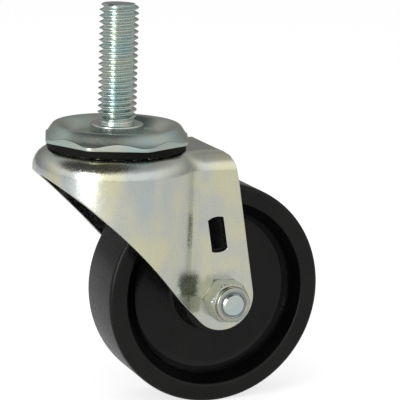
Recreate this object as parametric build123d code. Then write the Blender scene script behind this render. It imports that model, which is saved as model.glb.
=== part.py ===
from build123d import *
import os
from math import cos, sin, sqrt, radians

# Swivel castor on a threaded stem, in mm.
# The origin is the seat of the stem on the swivel axis. Z is up along the stem,
# X is towards the trailing wheel and Y is along the wheel's axle.
os.makedirs("parts", exist_ok=True)

# Stem, collar and kingpin
stem_d = 12.7
stem_length = 38.1
stem_chamfer = 1.0
collar_d = 17.6
collar_height = 4.0
collar_round = 0.6
kingpin_d = 12.0
rivet_d = 16.8
rivet_height = 2.4
rivet_round = 1.4
press_gap = 0.02

# Balls and the grooves they run in
race_t = 2.2
ball_gap = 0.07
upper_ball_d = 5.556
upper_ball_count = 20
upper_pitch_r = 18.8
lower_ball_d = 4.763
lower_ball_count = 13
lower_pitch_r = 10.8

# Upper race: an octagonal plate with a raised bead over the balls
plate_corner_r = 25.0
plate_turn = 2.0
plate_corner_round = 1.2
floor_r = 14.2
bead_r = 19.2
bead_crest = -0.6
rim_drop = 3.5

# Dust seal under the plate
seal_inner_r = 21.8
seal_outer_r = 22.8
seal_gap = 0.3

# Lower race: a cup washer under the crown
cup_inner_lip_r = 13.6
cup_outer_r = 15.6
cup_groove_depth = 0.9
cup_lip_height = 2.3

# Fork
sheet_t = 2.5
crown_gap = 1.8
crown_r = 27.3
crown_bend_r = 6.5
crown_hole_d = 14.0
crown_groove_depth = 0.5
leg_outer_y = 17.2
leg_blend_r = 8.0
shelf_end_x = 31.5
leg_end_r = 11.0
slot_d = 12.0
slot_width = 5.55
slot_x = 29.75
slot_z = -35.45
slant = 9.8

# Wheel and axle
axle_x = 32.4
axle_z = -57.2
wheel_r = 37.5
wheel_half_width = 11.5
rim_lip_r = 31.6
web_outer_r = 28.2
web_half = 5.0
hub_r = 13.0
hub_top_r = 12.6
hub_side_gap = 0.3
tread_round = 1.4
bore_gap = 0.05
sleeve_d = 9.5
sleeve_bore_d = 8.06
bolt_d = 7.94
bolt_end_y = 26.7
bolt_chamfer = 1.0
leg_hole_d = 8.1
hex_flats = 12.7
head_height = 5.2
nut_hex_height = 6.2
nut_height = 8.9
nut_collar_r = 5.65
nut_bore_d = 8.04
insert_outer_r = 4.85
insert_length = 1.9
hex_turn = -4.0

# Levels that follow from the sizes above
floor_z = -collar_height
race_under = floor_z - race_t
upper_groove_r = upper_ball_d / 2 + ball_gap
upper_ball_z = bead_crest - race_t - upper_groove_r
crown_top = race_under - crown_gap
crown_under = crown_top - sheet_t
lower_groove_r = lower_ball_d / 2 + ball_gap
lower_ball_z = crown_under + crown_groove_depth - lower_groove_r
cup_top = lower_ball_z - lower_groove_r + cup_groove_depth
cup_under = cup_top - race_t
leg_inner_y = leg_outer_y - sheet_t
far = 60.0


def lathe(points, rounds):
    """A ring about Z from its half section, with chosen corners rounded."""
    section = make_face(Polyline(*points, close=True))
    for (r, z), radius in rounds:
        corner = section.vertices().sort_by_distance((r, z, 0))[0]
        section = fillet(corner, radius)
    return revolve(Plane.XZ * section, Axis.Z)


def ring_groove(pitch_r, radius, z):
    return Pos(0, 0, z) * Torus(pitch_r, radius)


def hexagon(flats, height, bevel):
    """A hexagonal prism from z = 0 up, its corners turned off at the top."""
    corner_r = flats / sqrt(3)
    blank = extrude(RegularPolygon(corner_r, 6, rotation=hex_turn), height)
    turned = Pos(0, 0, height / 2) * Cylinder(corner_r + 0.01, height)
    top = turned.edges().sort_by(Axis.Z)[-1]
    turned = chamfer(top, bevel * 0.55, bevel)
    return blank & turned


# Stem, collar and kingpin are one turned piece, riveted over below the cup
stem = Pos(0, 0, stem_length / 2) * Cylinder(stem_d / 2, stem_length)
stem = chamfer(stem.edges().sort_by(Axis.Z)[-1], stem_chamfer)
collar = Pos(0, 0, -collar_height / 2) * Cylinder(collar_d / 2, collar_height)
collar = fillet(collar.edges().sort_by(Axis.Z)[-1], collar_round)
kingpin_length = -cup_under + floor_z
kingpin = Pos(0, 0, floor_z - kingpin_length / 2) * Cylinder(kingpin_d / 2, kingpin_length)
rivet = Pos(0, 0, cup_under - rivet_height / 2) * Cylinder(rivet_d / 2, rivet_height)
rivet = fillet(rivet.edges().sort_by(Axis.Z)[0], rivet_round)
threaded_stem = stem + collar + kingpin + rivet

# Upper race: turned section trimmed to an octagon, with the ball groove beneath
pin_hole_r = kingpin_d / 2 + press_gap
rim_r = plate_corner_r + 0.3
top_line = Spline(
    (floor_r, floor_z),
    ((floor_r + bead_r) / 2 + 0.2, floor_z + 0.55 * (bead_crest - floor_z)),
    (bead_r, bead_crest),
    (21.3, bead_crest - 1.0),
    (plate_corner_r * cos(radians(22.5)), -rim_drop),
    (rim_r, -rim_drop - 0.6),
    tangents=[(1, 0.1), (1, -0.2)],
)
rest = Polyline(
    (rim_r, -rim_drop - 0.6),
    (rim_r, race_under),
    (pin_hole_r, race_under),
    (pin_hole_r, floor_z),
    (floor_r, floor_z),
)
disc = revolve(Plane.XZ * make_face([*top_line.edges(), *rest.edges()]), Axis.Z)
outline = extrude(RegularPolygon(plate_corner_r, 8, rotation=plate_turn), 12)
outline = fillet(outline.edges().filter_by(Axis.Z), plate_corner_round)
upper_race = disc & (Pos(0, 0, -9) * outline)
upper_race -= ring_groove(upper_pitch_r, upper_groove_r, upper_ball_z)

# Dust seal: a soft ring that hangs from the plate, just clear of the crown
dust_seal = lathe(
    [
        (seal_inner_r, race_under),
        (seal_outer_r, race_under),
        (seal_outer_r, crown_top + seal_gap),
        (seal_inner_r, crown_top + seal_gap),
    ],
    [],
)

# Lower race: cup with a groove and a raised lip
lower_race = lathe(
    [
        (pin_hole_r, cup_under),
        (cup_outer_r, cup_under),
        (cup_outer_r, cup_top + cup_lip_height),
        (cup_inner_lip_r, cup_top + cup_lip_height),
        (cup_inner_lip_r, cup_top),
        (pin_hole_r, cup_top),
    ],
    [((cup_outer_r, cup_under), 1.6)],
)
lower_race -= ring_groove(lower_pitch_r, lower_groove_r, lower_ball_z)


# Fork: pressed sheet with a round crown and two flat legs
def crown_block(radius, half_width, blend, top, bend):
    """A round head and a straight tail, rounded over along the top."""
    tail = Pos(far / 2, 0) * Rectangle(far, 2 * half_width)
    plan = Circle(radius) + tail
    inner_corners = plan.vertices().sort_by(Axis.X)[:2]
    plan = fillet(inner_corners, blend)
    block = Pos(0, 0, top - 80) * extrude(plan, 80)
    rim = [e for e in block.edges().group_by(Axis.Z)[-1] if e.center().X < far - 1]
    return fillet(rim, bend)


outer = crown_block(crown_r, leg_outer_y, leg_blend_r, crown_top, crown_bend_r)
inner = crown_block(
    crown_r - sheet_t, leg_inner_y, leg_blend_r + sheet_t, crown_under, crown_bend_r - sheet_t
)
shell = outer - inner

# Side outline of the fork: front edge, round end about the axle, rear edge
end_start = radians(223)
end_stop = radians(360 + slant)
end_mid = (end_start + end_stop) / 2


def end_point(angle):
    return (axle_x + leg_end_r * cos(angle), axle_z + leg_end_r * sin(angle))


front_edge = Spline(
    (-27.6, -14.6),
    (-19.3, -21.0),
    (-11.0, -28.2),
    (-1.3, -37.6),
    (8.6, -48.4),
    (16.2, -56.8),
    end_point(end_start),
    tangents=[(0.8, -0.6), (0.682, -0.731)],
)
end_edge = ThreePointArc(end_point(end_start), end_point(end_mid), end_point(end_stop))
rear_edge = Polyline(
    end_point(end_stop),
    (36.75, -17.6),
    (36.1, -14.6),
    (35.2, -11.6),
    (34.2, -9.6),
    (32.6, crown_top - 0.5),
    (shelf_end_x, crown_top),
    (shelf_end_x, 10),
    (-45, 10),
    (-45, -14.6),
    (-27.6, -14.6),
)
side = make_face([*front_edge.edges(), *end_edge.edges(), *rear_edge.edges()])
side = extrude(Plane.XZ * side, 40, both=True)
fork = shell & side

# Square rear end of the shelf, kingpin hole and ball grooves
shelf_half = leg_outer_y - crown_bend_r
shelf_cut = Pos(shelf_end_x + 10, 0, crown_top) * Box(20, 2 * shelf_half, 2 * sheet_t + 2)
fork -= shelf_cut
fork -= Pos(0, 0, crown_top) * Cylinder(crown_hole_d / 2, 4 * sheet_t)
fork -= ring_groove(upper_pitch_r, upper_groove_r, upper_ball_z)
fork -= ring_groove(lower_pitch_r, lower_groove_r, lower_ball_z)

# Axle holes and the two slanted slots through the legs
fork -= Pos(axle_x, 0, axle_z) * Rot(90, 0, 0) * Cylinder(leg_hole_d / 2, 2 * far)
slot = Circle(slot_d / 2) & Rectangle(slot_width, 2 * slot_d)
slot = Plane.XZ * (Pos(slot_x, slot_z) * Rot(0, 0, slant) * slot)
fork -= extrude(slot, 40, both=True)

# Wheel: tread, recessed web and hub in one moulding, turned about Y
hub_half = leg_inner_y - hub_side_gap
bore_r = sleeve_d / 2 + bore_gap
half = [
    (bore_r, hub_half),
    (hub_top_r, hub_half),
    (hub_r, web_half),
    (web_outer_r, web_half),
    (rim_lip_r, wheel_half_width),
    (wheel_r, wheel_half_width),
]
other = [(r, -y) for r, y in reversed(half)]
corner_rounds = [0, 0.6, 1.5, 2.6, 0.7, tread_round]
wheel = make_face(Polyline(*half, *other, close=True))
for (r, y), radius in zip(half, corner_rounds):
    if radius == 0:
        continue
    for side_sign in (1, -1):
        corner = wheel.vertices().sort_by_distance((r, side_sign * y, 0))[0]
        wheel = fillet(corner, radius)
at_axle = Pos(axle_x, 0, axle_z)
wheel = at_axle * revolve(wheel, Axis.Y)

# Axle sleeve between the legs
sleeve = Cylinder(sleeve_d / 2, 2 * leg_inner_y) - Cylinder(sleeve_bore_d / 2, 2 * leg_inner_y)
towards_plus_y = Rot(-90, 0, 0)
towards_minus_y = Rot(90, 0, 0)
axle_sleeve = at_axle * towards_plus_y * sleeve

# Axle bolt: hexagon head on the +Y leg, end showing beyond the nut
shank_length = leg_outer_y + bolt_end_y
shank = Pos(0, 0, shank_length / 2 - leg_outer_y) * Cylinder(bolt_d / 2, shank_length)
shank = chamfer(shank.edges().sort_by(Axis.Z)[-1], bolt_chamfer)
head = Rot(180, 0, 0) * hexagon(hex_flats, head_height, 1.4)
axle_bolt = at_axle * towards_minus_y * (shank + Pos(0, 0, -leg_outer_y) * head)

# Lock nut: hexagon with a round collar that holds the nylon insert
nut = hexagon(hex_flats, nut_hex_height, 1.2)
collar_length = nut_height - nut_hex_height + 0.8
nut_collar = Cylinder(nut_collar_r, collar_length)
nut_collar = Pos(0, 0, nut_height - collar_length / 2) * nut_collar
nut_collar = fillet(nut_collar.edges().sort_by(Axis.Z)[-1], 0.9)
nut += nut_collar
nut -= Pos(0, 0, nut_height / 2) * Cylinder(nut_bore_d / 2, nut_height + 2)
pocket_depth = insert_length + 0.5
nut -= Pos(0, 0, nut_height - pocket_depth / 2) * Cylinder(insert_outer_r + press_gap, pocket_depth)
lock_nut = at_axle * towards_minus_y * (Pos(0, 0, leg_outer_y) * nut)

insert = Cylinder(insert_outer_r, insert_length) - Cylinder(nut_bore_d / 2, insert_length)
insert_z = leg_outer_y + nut_height - pocket_depth + insert_length / 2
nylon_insert = at_axle * towards_minus_y * (Pos(0, 0, insert_z) * insert)

nodes = {
    "threaded_stem": threaded_stem,
    "upper_race": upper_race,
    "dust_seal": dust_seal,
    "lower_race": lower_race,
    "fork": fork,
    "wheel": wheel,
    "axle_sleeve": axle_sleeve,
    "axle_bolt": axle_bolt,
    "lock_nut": lock_nut,
    "nylon_insert": nylon_insert,
}

# Two rings of loose balls
ball_rings = [
    ("upper_ball", upper_ball_count, upper_pitch_r, upper_ball_z, upper_ball_d),
    ("lower_ball", lower_ball_count, lower_pitch_r, lower_ball_z, lower_ball_d),
]
for name, count, pitch_r, z, diameter in ball_rings:
    for i in range(count):
        turn = radians(360 * i / count)
        place = Pos(pitch_r * cos(turn), pitch_r * sin(turn), z)
        nodes[f"{name}_{i + 1:02d}"] = place * Sphere(diameter / 2)

for name, solid in nodes.items():
    export_step(solid, f"parts/{name}.step")
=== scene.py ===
from math import radians

import bmesh
import bpy
import numpy as np
from mathutils import Matrix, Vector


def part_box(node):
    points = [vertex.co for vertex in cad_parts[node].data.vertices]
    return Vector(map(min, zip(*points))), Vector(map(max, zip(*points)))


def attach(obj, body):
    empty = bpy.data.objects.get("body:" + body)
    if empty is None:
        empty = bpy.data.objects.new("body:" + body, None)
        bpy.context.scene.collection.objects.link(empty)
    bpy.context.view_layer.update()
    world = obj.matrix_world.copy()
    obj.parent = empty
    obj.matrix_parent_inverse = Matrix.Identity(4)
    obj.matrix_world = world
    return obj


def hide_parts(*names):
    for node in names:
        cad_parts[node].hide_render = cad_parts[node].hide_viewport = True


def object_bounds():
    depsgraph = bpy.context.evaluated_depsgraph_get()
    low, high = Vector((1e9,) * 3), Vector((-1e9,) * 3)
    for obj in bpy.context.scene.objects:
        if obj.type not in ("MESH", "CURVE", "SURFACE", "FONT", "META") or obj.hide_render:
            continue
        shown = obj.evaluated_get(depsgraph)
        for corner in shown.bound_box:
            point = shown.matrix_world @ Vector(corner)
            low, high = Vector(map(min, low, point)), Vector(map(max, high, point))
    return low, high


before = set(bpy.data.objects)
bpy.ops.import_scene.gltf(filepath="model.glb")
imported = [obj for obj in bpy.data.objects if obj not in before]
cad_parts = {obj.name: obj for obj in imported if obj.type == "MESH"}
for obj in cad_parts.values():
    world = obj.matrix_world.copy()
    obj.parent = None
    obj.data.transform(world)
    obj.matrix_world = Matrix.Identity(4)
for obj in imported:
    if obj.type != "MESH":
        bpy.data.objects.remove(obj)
cad_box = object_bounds()

# ------------------------------------------------------------------ stem
# The stem is one turned steel screw: a half-inch coarse thread above a plain collar,
# and below it the kingpin, whose end is riveted over. The thread is rolled and zinc plated.
mm = 0.001
crisp_edge = radians(34)
stem_low, stem_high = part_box("threaded_stem")
stem_extra = 0.85
stem_top = stem_high[2] / mm + stem_extra
rivet_end = stem_low[2] / mm
rivet_r = 8.4
rivet_height = 2.4
kingpin_r = 6.0
collar_r = stem_high[0] / mm
collar_height = 4.0
thread_pitch = 25.4 / 13
thread_crest_r = 6.35
thread_root_r = 5.0
thread_root_share = 0.14
thread_flank_share = 0.76
thread_start = 0.13
thread_end_r = 5.3
end_slope = 1.1
neck_r = 5.75
neck_height = 0.5
run_in = 1.6


def castor_skin(name, x, y, z, wrap=True):
    """Quads over a grid of points in millimetres. Each row is a ring round the axis, and each
    quad joins two neighbours in a row to the same two in the next."""
    grid = np.stack(np.broadcast_arrays(x, y, z), axis=-1)
    rows, cols = grid.shape[:2]
    points = grid.reshape(-1, 3) * mm
    i = np.arange(rows - 1)[:, None] * cols
    j = np.arange(cols if wrap else cols - 1)[None, :]
    k = (j + 1) % cols
    quads = np.stack([i + j, i + k, i + cols + k, i + cols + j], axis=-1).reshape(-1, 4)
    mesh = bpy.data.meshes.new(name)
    mesh.from_pydata(points.tolist(), [], quads.tolist())
    work = bmesh.new()
    work.from_mesh(mesh)
    bmesh.ops.remove_doubles(work, verts=work.verts, dist=1e-6)
    bmesh.ops.recalc_face_normals(work, faces=work.faces)
    work.to_mesh(mesh)
    work.free()
    mesh.polygons.foreach_set("use_smooth", np.ones(len(mesh.polygons), dtype=bool))
    mesh.set_sharp_from_angle(angle=crisp_edge)
    piece = bpy.data.objects.new(name, mesh)
    bpy.context.collection.objects.link(piece)
    return piece


def turned_round_stem(name, r, z, around, wrap=True):
    """A piece turned round the stem: the radius times the cosine and the sine of the angle,
    and the height."""
    return castor_skin(name, r * np.cos(around), r * np.sin(around), z, wrap)


def even_rings(levels, around):
    """Rings that are the same all round: a column of levels times a row of ones."""
    return np.reshape(levels, (-1, 1)) * np.ones(around.size)


def eased_section(corners, steps=6):
    """A section line through corners (r, h, ease). Each corner becomes a parabola that leaves
    and meets the straight sides at the ease's distance from it, or just short of halfway:
    start times (1 - t) squared, plus corner times 2t (1 - t), plus stop times t squared."""
    side_share = 0.49
    c = np.array(corners, dtype=float)
    line = [c[0, :2]]
    t = np.linspace(0, 1, steps + 1)[:, None]
    for before, here, after in zip(c[:-2], c[1:-1], c[2:]):
        back = before[:2] - here[:2]
        on = after[:2] - here[:2]
        back_length, on_length = np.hypot(*back), np.hypot(*on)
        reach = min(here[2], side_share * back_length, side_share * on_length)
        if reach == 0:
            line.append(here[:2])
            continue
        start = here[:2] + back / back_length * reach
        stop = here[:2] + on / on_length * reach
        line.extend((1 - t) ** 2 * start + 2 * t * (1 - t) * here[:2] + t**2 * stop)
    line.append(c[-1, :2])
    return np.array(line)


def thread_radius(turns, height):
    """Radius of a rolled thread: a clipped triangle wave of the turns, a little smoothed
    between root and crest. It fades into the neck at the foot, and the cone of the end
    chamfer cuts it at the top."""
    wave = 1 - np.abs(2 * (turns % 1.0) - 1)
    flank = np.clip((wave - thread_root_share) / thread_flank_share, 0, 1)
    flank = 0.7 * flank + 0.3 * flank**2 * (3 - 2 * flank)
    r = thread_root_r + (thread_crest_r - thread_root_r) * flank
    fade = np.clip((height - neck_height) / run_in, 0, 1)
    r = neck_r + (r - neck_r) * fade**2 * (3 - 2 * fade)
    return np.minimum(r, thread_end_r + end_slope * (stem_top - height))


foot = eased_section(
    [
        (0, rivet_end, 0),
        (rivet_r - 0.2, rivet_end, 1.3),
        (rivet_r, rivet_end + rivet_height, 0.3),
        (kingpin_r, rivet_end + rivet_height, 0),
        (kingpin_r, -collar_height, 0),
        (collar_r, -collar_height, 0),
        (collar_r, 0, 0.6),
        (neck_r, 0, 0),
    ]
)
round_stem = np.linspace(0, 2 * np.pi, 97)
foot_r = even_rings(foot[:, 0], round_stem)
foot_z = even_rings(foot[:, 1], round_stem)
wave_steps = np.array(
    [0, 0.05, 0.07, 0.1, 0.2, 0.3, 0.4, 0.45, 0.5, 0.55, 0.6, 0.7, 0.8, 0.9, 0.93, 0.95]
)
turn_steps = np.sort((wave_steps - thread_start) % 1.0)
turn_count = int(stem_top / thread_pitch) + 3
along = (np.arange(-1, turn_count)[:, None] + turn_steps).ravel()[:, None]
thread_z = np.clip(thread_pitch * (along + round_stem / (2 * np.pi)), 0, stem_top)
thread_turns = thread_z / thread_pitch - round_stem / (2 * np.pi) + thread_start
thread_r = thread_radius(thread_turns, thread_z)
cap_r = thread_r[-1:] * np.array([[0.8], [0.4], [0]])
cap_z = np.full_like(cap_r, stem_top)
stem_r = np.concatenate([foot_r, thread_r, cap_r])
stem_z = np.concatenate([foot_z, thread_z, cap_z])
stem = turned_round_stem("stem_with_thread", stem_r, stem_z, round_stem, wrap=False)


def new_finish(name):
    """A new material, its node tree and its shader."""
    made = bpy.data.materials.new(name)
    made.use_nodes = True
    return made, made.node_tree, made.node_tree.nodes["Principled BSDF"]


def mottle(tree, scale, detail, stretch=None, distortion=0.0):
    """An uneven mottle: noise over the piece's own coordinates, each times its stretch."""
    where = tree.nodes.new("ShaderNodeTexCoord").outputs["Object"]
    if stretch:
        spread = tree.nodes.new("ShaderNodeMapping")
        spread.inputs["Scale"].default_value = stretch
        tree.links.new(where, spread.inputs["Vector"])
        where = spread.outputs["Vector"]
    node = tree.nodes.new("ShaderNodeTexNoise")
    node.inputs["Scale"].default_value = scale
    node.inputs["Detail"].default_value = detail
    node.inputs["Distortion"].default_value = distortion
    tree.links.new(where, node.inputs["Vector"])
    return node.outputs["Fac"]


def finish_tones(tree, value, stops):
    """A colour that blends in straight lines between stops, pairs of a position and a colour,
    as the value goes up."""
    node = tree.nodes.new("ShaderNodeValToRGB")
    elements = node.color_ramp.elements
    first, *between, last = stops
    for element, (position, colour) in zip(elements, (first, last)):
        element.position = position
        element.color = (*colour, 1)
    for position, colour in between:
        elements.new(position).color = (*colour, 1)
    tree.links.new(value, node.inputs["Fac"])
    return node.outputs["Color"]


def level_between(tree, value, start, stop, first, last, easing="LINEAR"):
    """First, plus last less first times the value's way from start to stop. It stays at first
    before start and at last past stop."""
    node = tree.nodes.new("ShaderNodeMapRange")
    node.interpolation_type = easing
    node.inputs["From Min"].default_value = start
    node.inputs["From Max"].default_value = stop
    node.inputs["To Min"].default_value = first
    node.inputs["To Max"].default_value = last
    tree.links.new(value, node.inputs["Value"])
    return node.outputs["Result"]


def gloss_and_grain(tree, shader, fine, rough_low, rough_high, strength, depth):
    """A fine mottle sets the roughness between low and high, and stands up from the surface
    by its value times the depth."""
    usual_low, usual_high = 0.3, 0.7
    rough = level_between(tree, fine, usual_low, usual_high, rough_low, rough_high)
    tree.links.new(rough, shader.inputs["Roughness"])
    bump = tree.nodes.new("ShaderNodeBump")
    bump.inputs["Strength"].default_value = strength
    bump.inputs["Distance"].default_value = depth
    tree.links.new(fine, bump.inputs["Height"])
    tree.links.new(bump.outputs["Normal"], shader.inputs["Normal"])


def plated_steel(
    name, cool, plain, warm, stretch, patch_stretch, rough_low, rough_high, grain_depth
):
    """Zinc plate: slow patches from cool to warm grey, fine streaks and a soft uneven gloss."""
    made, tree, shader = new_finish(name)
    shader.inputs["Metallic"].default_value = 1.0
    patches = mottle(tree, scale=1.0, detail=3.0, stretch=patch_stretch, distortion=0.6)
    colour = finish_tones(tree, patches, [(0.36, cool), (0.5, plain), (0.64, warm)])
    tree.links.new(colour, shader.inputs["Base Color"])
    streaks = mottle(tree, scale=1.0, detail=5.0, stretch=stretch)
    gloss_and_grain(tree, shader, streaks, rough_low, rough_high, 0.2, grain_depth)
    return made


bright_zinc = plated_steel(
    "bright_zinc",
    cool=(0.56, 0.67, 0.66),
    plain=(0.62, 0.69, 0.65),
    warm=(0.67, 0.69, 0.62),
    stretch=(700, 700, 700),
    patch_stretch=(110, 110, 110),
    rough_low=0.18,
    rough_high=0.32,
    grain_depth=0.00003,
)
stem.data.materials.append(bright_zinc)
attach(stem, "stem")
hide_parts("threaded_stem")

# ------------------------------------------------------------------ upper race
# An octagonal plate pressed from thick sheet. A raised bead runs round it over the balls,
# its floor is dished round the collar, and its rim droops so the corners sit lowest.
plate_low, plate_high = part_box("upper_race")
plate_under = plate_low[2] / mm + 0.7
plate_sheet = 2.2
plate_corner_r = 25.0
corner_limit_r = 24.72
corner_tightness = 5.0
plate_turn = radians(4.0)
plate_floor_z = -4.0
plate_hole_r = 6.02
bead_top_z = plate_high[2] / mm
bead_extra = 0.35
bead_start_r = 14.6
bead_rise = 5.2
droop_start_r = 20.3
droop_run = 3.7
droop_depth = 3.9
round_part_r = 22.0
top_edge = 0.45
low_edge = 0.35
groove_pitch_r = 18.8
groove_r = 2.848
groove_z = bead_top_z - plate_sheet - groove_r


def plate_level(r):
    """Height of the plate's top: a flat floor, plus a soft step up to the bead, less a soft
    step down to the rim. A soft step is 3 t squared less 2 t cubed."""
    rise = np.clip((r - bead_start_r) / bead_rise, 0, 1)
    fall = np.clip((r - droop_start_r) / droop_run, 0, 1)
    rise = rise**2 * (3 - 2 * rise)
    fall = fall**2 * (3 - 2 * fall)
    bead_height = bead_top_z + bead_extra - plate_floor_z
    return plate_floor_z + bead_height * rise - droop_depth * fall


round_plate = np.linspace(0, 2 * np.pi, 240, endpoint=False)
eighth = np.pi / 4
in_side = (round_plate - plate_turn) % eighth - eighth / 2
flat_r = plate_corner_r * np.cos(eighth / 2)
rim_r = flat_r / np.cos(in_side)
inside_limit = (corner_limit_r - rim_r) * corner_tightness
rim_r = corner_limit_r - np.logaddexp(0, inside_limit) / corner_tightness
inner_steps = np.concatenate(
    [[plate_hole_r, 9, 12, 14.2], np.linspace(bead_start_r, round_part_r, 30)]
)
outer_steps = np.linspace(0.2, 1, 7)[:, None]
top_r = np.concatenate(
    [
        even_rings(inner_steps, round_plate),
        round_part_r + (rim_r - top_edge - round_part_r) * outer_steps,
    ]
)
top_z = plate_level(top_r)
ease = np.linspace(0, np.pi / 2, 6)[1:, None]
top_edge_r = rim_r - top_edge + top_edge * np.sin(ease)
top_edge_z = plate_level(rim_r - top_edge) - top_edge * (1 - np.cos(ease))
low_edge_r = rim_r - low_edge + low_edge * np.cos(ease)
low_edge_z = even_rings(plate_under + low_edge - low_edge * np.sin(ease), round_plate)
start_edge_r = rim_r[None, :]
start_edge_z = even_rings(plate_under + low_edge, round_plate)
half_open = np.arccos((plate_under - groove_z) / groove_r)
groove_turn = np.linspace(half_open, -half_open, 17)
groove_line_r = even_rings(groove_pitch_r + groove_r * np.sin(groove_turn), round_plate)
groove_line_z = even_rings(groove_z + groove_r * np.cos(groove_turn), round_plate)
hole_line_r = even_rings([plate_hole_r, plate_hole_r], round_plate)
hole_line_z = even_rings([plate_under, plate_floor_z], round_plate)
plate_r = np.concatenate(
    [top_r, top_edge_r, start_edge_r, low_edge_r, groove_line_r, hole_line_r]
)
plate_z = np.concatenate(
    [top_z, top_edge_z, start_edge_z, low_edge_z, groove_line_z, hole_line_z]
)
plate = turned_round_stem("upper_race_plate", plate_r, plate_z, round_plate)
plate_zinc = plated_steel(
    "plate_zinc",
    cool=(0.48, 0.59, 0.56),
    plain=(0.55, 0.60, 0.54),
    warm=(0.60, 0.61, 0.52),
    stretch=(1500, 1500, 1500),
    patch_stretch=(80, 80, 80),
    rough_low=0.3,
    rough_high=0.42,
    grain_depth=0.00002,
)
plate.data.materials.append(plate_zinc)
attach(plate, "stem")
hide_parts("upper_race")

# ------------------------------------------------------------------ dust seal
# A black rubber ring pushed up under the plate. Its lower lip stands just clear of the
# crown and keeps grit out of the balls.
seal_low, seal_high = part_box("dust_seal")
seal_top = plate_under
lip_extra = 0.22
seal_foot = seal_low[2] / mm - lip_extra
seal_wall = 1.0
seal_outer = seal_high[0] / mm
seal_inner = seal_outer - seal_wall
seal_line = eased_section(
    [
        (seal_inner, seal_top, 0),
        (seal_outer, seal_top, 0),
        (seal_outer, seal_foot, 0.4),
        (seal_inner, seal_foot, 0.2),
        (seal_inner, seal_top, 0),
    ]
)
seal = turned_round_stem("dust_seal_ring", seal_line[:, :1], seal_line[:, 1:], round_plate)


def moulded(name, dark, light, speck_scale, rough_low, rough_high, grain_depth, shine=0.5):
    """Moulded plastic or rubber: two close tones in slow clouds, and a fine grain in gloss
    and height."""
    made, tree, shader = new_finish(name)
    shader.inputs["Specular IOR Level"].default_value = shine
    clouds = mottle(tree, scale=70, detail=4.0)
    colour = finish_tones(tree, clouds, [(0.35, dark), (0.68, light)])
    tree.links.new(colour, shader.inputs["Base Color"])
    specks = mottle(tree, scale=speck_scale, detail=3.0)
    gloss_and_grain(tree, shader, specks, rough_low, rough_high, 0.25, grain_depth)
    return made


seal_rubber = moulded(
    "seal_rubber",
    dark=(0.002, 0.002, 0.002),
    light=(0.006, 0.006, 0.005),
    speck_scale=1400,
    rough_low=0.5,
    rough_high=0.8,
    grain_depth=0.0002,
    shine=0.15,
)
seal.data.materials.append(seal_rubber)
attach(seal, "stem")
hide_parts("dust_seal")

# ------------------------------------------------------------------ balls and lower race
# Two rings of loose steel balls run between the plate, the crown and a cup washer below it.
# They hardly show, so the solids stay and take a polished or a plated finish.
polished, ball_tree, ball_shader = new_finish("ball_steel")
ball_shader.inputs["Metallic"].default_value = 1.0
ball_shader.inputs["Base Color"].default_value = (0.7, 0.7, 0.71, 1)
ball_haze = mottle(ball_tree, scale=600, detail=2.0)
ball_rough = level_between(ball_tree, ball_haze, 0.0, 1.0, 0.08, 0.25)
ball_tree.links.new(ball_rough, ball_shader.inputs["Roughness"])


def finish_solid(node, material, edge=0.0):
    """Gives a solid its material, welds its facets, rounds its edges and evens its shading."""
    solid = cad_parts[node]
    for slot in solid.material_slots:
        slot.link = "OBJECT"
        slot.material = material
    solid.data.polygons.foreach_set("use_smooth", np.ones(len(solid.data.polygons), dtype=bool))
    weld = solid.modifiers.new("weld", "WELD")
    weld.merge_threshold = 2e-6
    if edge:
        bevel = solid.modifiers.new("edges", "BEVEL")
        bevel.width = edge * mm
        bevel.segments = 3
        bevel.limit_method = "ANGLE"
        bevel.angle_limit = crisp_edge
        bevel.use_clamp_overlap = True
    even = solid.modifiers.new("even", "WEIGHTED_NORMAL")
    even.keep_sharp = True


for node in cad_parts:
    if "ball" in node:
        finish_solid(node, polished)

# ------------------------------------------------------------------ fork
# The fork is pressed from one sheet: a round crown bent over into two legs, with a slanted
# slot through each. Drawn and zinc plated, with a faint yellow and blue cast in the plate.
fork_zinc = plated_steel(
    "fork_zinc",
    cool=(0.60, 0.64, 0.62),
    plain=(0.69, 0.70, 0.60),
    warm=(0.77, 0.76, 0.54),
    stretch=(1900, 1900, 1100),
    patch_stretch=(75, 75, 45),
    rough_low=0.14,
    rough_high=0.3,
    grain_depth=0.00007,
)
finish_solid("fork", fork_zinc, edge=0.45)
finish_solid("lower_race", fork_zinc, edge=0.3)

# ------------------------------------------------------------------ wheel
# A hard plastic wheel moulded in one piece: a flat tread, a deep recess in each side, and a
# hub that stands proud of the web and runs on the axle's sleeve.
wheel_low, wheel_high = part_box("wheel")
wheel_x = (wheel_low[0] + wheel_high[0]) / 2 / mm
wheel_z = (wheel_low[2] + wheel_high[2]) / 2 / mm
wheel_r = (wheel_high[0] - wheel_low[0]) / 2 / mm
hub_half = wheel_high[1] / mm
rim_half = 11.5
web_half = 5.0
bore_r = 4.8
hub_r = 12.6
hub_foot_r = 13.0
web_edge_r = 27.9
lip_r = 31.6
side_corners = [
    (bore_r, hub_half, 0.35),
    (hub_r, hub_half, 0.8),
    (hub_foot_r, web_half, 1.7),
    (web_edge_r, web_half, 3.6),
    (lip_r, rim_half, 0.9),
    (wheel_r, rim_half, 1.8),
]
other_side = [(r, -y, ease_r) for r, y, ease_r in reversed(side_corners)]
wheel_line = eased_section([(bore_r, 0, 0), *side_corners, *other_side, (bore_r, 0, 0)], steps=8)
round_wheel = np.linspace(0, 2 * np.pi, 192, endpoint=False)


def turned_round_axle(name, r, y, around):
    """A piece turned round the axle: its centre plus the radius times the cosine and the
    sine of the angle, and the place along it."""
    return castor_skin(name, wheel_x + r * np.cos(around), y, wheel_z + r * np.sin(around))


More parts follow.
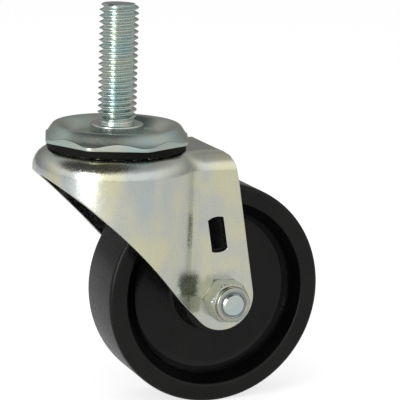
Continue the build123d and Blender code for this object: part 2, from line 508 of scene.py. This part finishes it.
wheel = turned_round_axle("moulded_wheel", wheel_line[:, :1], wheel_line[:, 1:], round_wheel)
wheel_black = moulded(
    "wheel_black",
    dark=(0.006, 0.006, 0.0055),
    light=(0.010, 0.010, 0.009),
    speck_scale=900,
    rough_low=0.2,
    rough_high=0.34,
    grain_depth=0.0001,
    shine=0.22,
)
# A darker black with less shine for the recess walls: painted shade, on the same plastic as the
# rest of the wheel.
painted_shade_wall_black = moulded(
    "wheel_wall_painted_shade",
    dark=(0.002, 0.002, 0.002),
    light=(0.004, 0.004, 0.004),
    speck_scale=500,
    rough_low=0.1,
    rough_high=0.2,
    grain_depth=0.0003,
    shine=0.09,
)
wheel.data.materials.append(wheel_black)
wheel.data.materials.append(painted_shade_wall_black)

# The sloped wall of each recess is smoother than the rest of the wheel, and its darker colour
# and weaker shine are painted shade for the deep recess.
wall_margin = 1.4
lip_margin = 0.2
face_margin = 0.5
middle = np.zeros(len(wheel.data.polygons) * 3)
wheel.data.polygons.foreach_get("center", middle)
middle = middle.reshape(-1, 3) / mm
from_axle = np.hypot(middle[:, 0] - wheel_x, middle[:, 2] - wheel_z)
below_face = np.abs(middle[:, 1]) < rim_half - face_margin
outside_web = from_axle > web_edge_r - wall_margin
painted_shade_wall_faces = outside_web & (from_axle < lip_r - lip_margin) & below_face
wheel.data.polygons.foreach_set("material_index", painted_shade_wall_faces.astype(int))
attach(wheel, "wheel")
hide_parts("wheel")

# ------------------------------------------------------------------ axle
# A hexagon-headed bolt goes through both legs and a steel sleeve between them. The wheel
# turns on the sleeve, and the bolt's end shows in the nut.


def trimmed_hexagon(flat_r, turn, around, levels, under, over):
    """Radii of a hexagon with its corners turned off: the flat's radius over the cosine of
    the angle from the flat's middle, and never past a cone at either end. Under and over
    hold each cone's radius at its own end and how fast it widens from there."""
    sixth = np.pi / 3
    flats = flat_r / np.cos((around - turn) % sixth - sixth / 2)
    up = np.reshape(levels, (-1, 1))
    cones = np.minimum(under[0] + under[1] * up, over[0] + over[1] * (levels[-1] - up))
    return np.minimum(flats, cones)


finish_solid("axle_sleeve", bright_zinc, edge=0.2)
bolt_low, bolt_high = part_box("axle_bolt")
bolt_end = bolt_low[1] / mm
head_end = bolt_high[1] / mm
head_height = 5.2
head_face = head_end - head_height
head_flat_r = 6.35
shank_r = 3.97
round_bolt = np.linspace(0, 2 * np.pi, 144, endpoint=False)
head_levels = np.array([0, 0.12, 0.25, 0.4, 1, 2, 3, 4, 4.4, 4.7, 4.9, 5.05, head_height])
head_hex_r = trimmed_hexagon(
    head_flat_r, 0.0, round_bolt, head_levels, under=(6.1, 2.0), over=(6.0, 1.75)
)
bolt_line = eased_section(
    [
        (0, bolt_end + 0.12, 0),
        (2.9, bolt_end, 0.5),
        (3.25, bolt_end, 0.2),
        (shank_r, bolt_end + 0.9, 0.2),
        (shank_r, head_face, 0),
        (6.1, head_face, 0),
    ]
)
bolt_top_r = np.array([6.0, 5.2, 2.5, 0.0])
bolt_r = np.concatenate(
    [
        even_rings(bolt_line[:, 0], round_bolt),
        head_hex_r,
        even_rings(bolt_top_r, round_bolt),
    ]
)
bolt_y = np.concatenate(
    [bolt_line[:, 1], head_face + head_levels, np.full(bolt_top_r.size, head_end)]
)
bolt = turned_round_axle("hexagon_bolt", bolt_r, bolt_y[:, None], round_bolt)
bolt.data.materials.append(bright_zinc)
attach(bolt, "fork")
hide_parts("axle_bolt")

# ------------------------------------------------------------------ lock nut
# A zinc plated lock nut with a hexagon, a domed round collar, and a pale nylon ring
# trapped in the collar that grips the bolt's thread.
nut_face = -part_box("lock_nut")[1][1] / mm
nut_length = 8.9
nut_bore_r = 4.02
insert_seat_r = 4.87
insert_seat = (6.5, 8.2)
nut_flat_r = 6.35
nut_turn = radians(-4.0)
round_nut = np.linspace(0, 2 * np.pi, 144, endpoint=False)
hex_top = 6.9
hex_levels = np.array(
    [0, 0.15, 0.3, 0.5, 0.8, 1.2, 2.2, 3.4, 4.6, 5.5, 6.0, 6.3, 6.55, 6.75, hex_top]
)
nut_hex_r = trimmed_hexagon(
    nut_flat_r, nut_turn, round_nut, hex_levels, under=(6.3, 1.7), over=(6.15, 1.75)
)
collar_line = eased_section(
    [
        (6.1, hex_top, 0),
        (5.95, hex_top + 0.1, 0.2),
        (5.9, nut_length, 1.2),
        (4.5, nut_length, 0.5),
        (4.45, insert_seat[1] + 0.1, 0),
        (insert_seat_r, insert_seat[1], 0),
        (insert_seat_r, insert_seat[0], 0),
        (nut_bore_r, insert_seat[0], 0),
        (nut_bore_r, 0, 0.3),
        (6.3, 0, 0),
    ]
)
nut_r = np.concatenate([nut_hex_r, even_rings(collar_line[:, 0], round_nut)])
nut_h = np.concatenate([hex_levels, collar_line[:, 1]])
nut = turned_round_axle("domed_lock_nut", nut_r, -(nut_face + nut_h)[:, None], round_nut)
# A darker copy of the plated zinc for the nut: painted shade for its facets in the shade beside
# the leg.
painted_shade_nut_zinc = plated_steel(
    "painted_shade_nut_zinc",
    cool=(0.40, 0.44, 0.41),
    plain=(0.47, 0.48, 0.42),
    warm=(0.54, 0.53, 0.43),
    stretch=(1200, 1200, 1200),
    patch_stretch=(200, 200, 200),
    rough_low=0.16,
    rough_high=0.28,
    grain_depth=0.00002,
)
nut.data.materials.append(painted_shade_nut_zinc)
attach(nut, "fork")
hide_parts("lock_nut")

pale_nylon = moulded(
    "nylon",
    dark=(0.42, 0.46, 0.48),
    light=(0.55, 0.58, 0.60),
    speck_scale=900,
    rough_low=0.35,
    rough_high=0.5,
    grain_depth=0.0001,
)
finish_solid("nylon_insert", pale_nylon, edge=0.2)

# ------------------------------------------------------------------ room, light and camera
# A pale floor under the wheel and a plain studio round it: brighter in front than behind,
# dim overhead, with a tall soft lamp at the left and two broad lamps that fill the shade.
# None of these is part of the castor.
floor_z = float(cad_box[0][2])
floor_mesh = bpy.data.meshes.new("floor")
floor_half = 6.0
floor_glow_seen = 0.72
floor_glow_mirrored = 0.3
floor_corners = [(-1, -1), (1, -1), (1, 1), (-1, 1)]
floor_points = [(x * floor_half, y * floor_half, floor_z) for x, y in floor_corners]
floor_mesh.from_pydata(floor_points, [], [(0, 1, 2, 3)])
floor = bpy.data.objects.new("floor", floor_mesh)
bpy.context.collection.objects.link(floor)
floor_white, floor_tree, floor_shader = new_finish("floor_white")
floor_shader.inputs["Base Color"].default_value = (0.5, 0.5, 0.5, 1)
floor_shader.inputs["Roughness"].default_value = 0.9
floor_shader.inputs["Emission Color"].default_value = (1, 1, 1, 1)
floor_path = floor_tree.nodes.new("ShaderNodeLightPath")
floor_mirrored = floor_tree.nodes.new("ShaderNodeMath")
floor_mirrored.operation = "MULTIPLY"
floor_mirrored.inputs[1].default_value = floor_glow_mirrored
floor_seen = floor_tree.nodes.new("ShaderNodeMath")
floor_seen.operation = "MULTIPLY_ADD"
floor_seen.inputs[1].default_value = floor_glow_seen
floor_tree.links.new(floor_path.outputs["Is Glossy Ray"], floor_mirrored.inputs[0])
floor_tree.links.new(floor_path.outputs["Is Camera Ray"], floor_seen.inputs[0])
floor_tree.links.new(floor_mirrored.outputs["Value"], floor_seen.inputs[2])
floor_tree.links.new(floor_seen.outputs["Value"], floor_shader.inputs["Emission Strength"])
floor_mesh.materials.append(floor_white)

room = bpy.data.worlds.new("room")
bpy.context.scene.world = room
room.use_nodes = True
room_nodes, room_links = room.node_tree.nodes, room.node_tree.links
room_light = room_nodes["Background"]
room_light.inputs["Color"].default_value = (1, 1, 1, 1)
room_path = room_nodes.new("ShaderNodeLightPath")
outward = room_nodes.new("ShaderNodeTexCoord").outputs["Generated"]
even_light = 0.5


def room_toward(direction, start, stop, first, last):
    """A level of the room's light that goes softly from first to last as a ray turns towards
    a direction, that is, as the dot product of the two goes from start to stop."""
    node = room_nodes.new("ShaderNodeVectorMath")
    node.operation = "DOT_PRODUCT"
    node.inputs[1].default_value = direction
    room_links.new(outward, node.inputs[0])
    nearness = node.outputs["Value"]
    return level_between(room.node_tree, nearness, start, stop, first, last, easing="SMOOTHSTEP")


def room_joined(operation, one, other):
    """One level of the room's light made of two: their product or the larger of them."""
    node = room_nodes.new("ShaderNodeMath")
    node.operation = operation
    room_links.new(one, node.inputs[0])
    room_links.new(other, node.inputs[1])
    return node.outputs["Value"]


front_bright = room_toward((-0.3, -0.6, 0.74), -0.6, 0.85, 0.2, 1.0)
top_dim = room_toward((0, 0, 1), 0.5, 0.85, 1.0, 0.42)
dark_patch = room_toward((-0.42, -0.09, 0.9), 0.7, 0.86, 1.0, 0.12)
mirrored = room_joined("MULTIPLY", room_joined("MULTIPLY", front_bright, top_dim), dark_patch)
lit_or_mirrored = room_nodes.new("ShaderNodeMix")
lit_or_mirrored.inputs["A"].default_value = even_light
room_links.new(room_path.outputs["Is Glossy Ray"], lit_or_mirrored.inputs["Factor"])
room_links.new(mirrored, lit_or_mirrored.inputs["B"])
camera_ray = room_path.outputs["Is Camera Ray"]
seen_white = room_joined("MAXIMUM", camera_ray, room_path.outputs["Is Transmission Ray"])
room_level = room_joined("MAXIMUM", seen_white, lit_or_mirrored.outputs["Result"])
room_links.new(room_level, room_light.inputs["Strength"])

# Each lamp: its name, where it stands and its width and height in metres, and its watts.
# Only the tall one shows in the metal.
lamps = [
    ("key", (-0.37, -0.23, 0.07), (0.2, 0.34), 0.86),
    ("top", (-0.25, -0.35, 0.75), (0.5, 0.5), 1.3),
    ("fill", (0.75, -0.55, 0.25), (0.6, 0.6), 0.9),
]
aim = np.array([0.015, 0, -0.03])
for lamp_name, place, size, power in lamps:
    light = bpy.data.lights.new(lamp_name, "AREA")
    light.shape = "RECTANGLE"
    light.size, light.size_y = size
    light.energy = power
    lamp = bpy.data.objects.new(lamp_name, light)
    bpy.context.collection.objects.link(lamp)
    lamp.visible_glossy = lamp_name == "key"
    away = np.array(place) - aim
    away /= np.linalg.norm(away)
    side = np.cross((0, 0, 1), away)
    side /= np.linalg.norm(side)
    over = np.cross(away, side)
    turned = np.eye(4)
    turned[:3, :3] = np.stack([side, over, away], axis=1)
    turned[:3, 3] = place
    lamp.matrix_world = Matrix(turned.tolist())

# A long lens that looks 23 degrees round and 12 degrees down at the castor.
yaw, pitch, roll = np.radians([23.11, 12.226, 1.831])
ahead = np.array([np.sin(yaw) * np.cos(pitch), np.cos(yaw) * np.cos(pitch), -np.sin(pitch)])
level_right = np.array([np.cos(yaw), -np.sin(yaw), 0])
level_up = np.cross(level_right, ahead)
right = np.cos(roll) * level_right + np.sin(roll) * level_up
up = -np.sin(roll) * level_right + np.cos(roll) * level_up
to_right, down, back = 0.02709, 0.02521, 0.6038
eye = right * to_right - up * down - ahead * back
view = np.eye(4)
view[:3, :3] = np.stack([right, up, -ahead], axis=1)
view[:3, 3] = eye
lens = bpy.data.cameras.new("camera")
lens.lens = 166.84
lens.sensor_width = 36.0
camera = bpy.data.objects.new("camera", lens)
bpy.context.collection.objects.link(camera)
camera.matrix_world = Matrix(view.tolist())
bpy.context.scene.camera = camera
bpy.context.scene.view_settings.view_transform = "Standard"
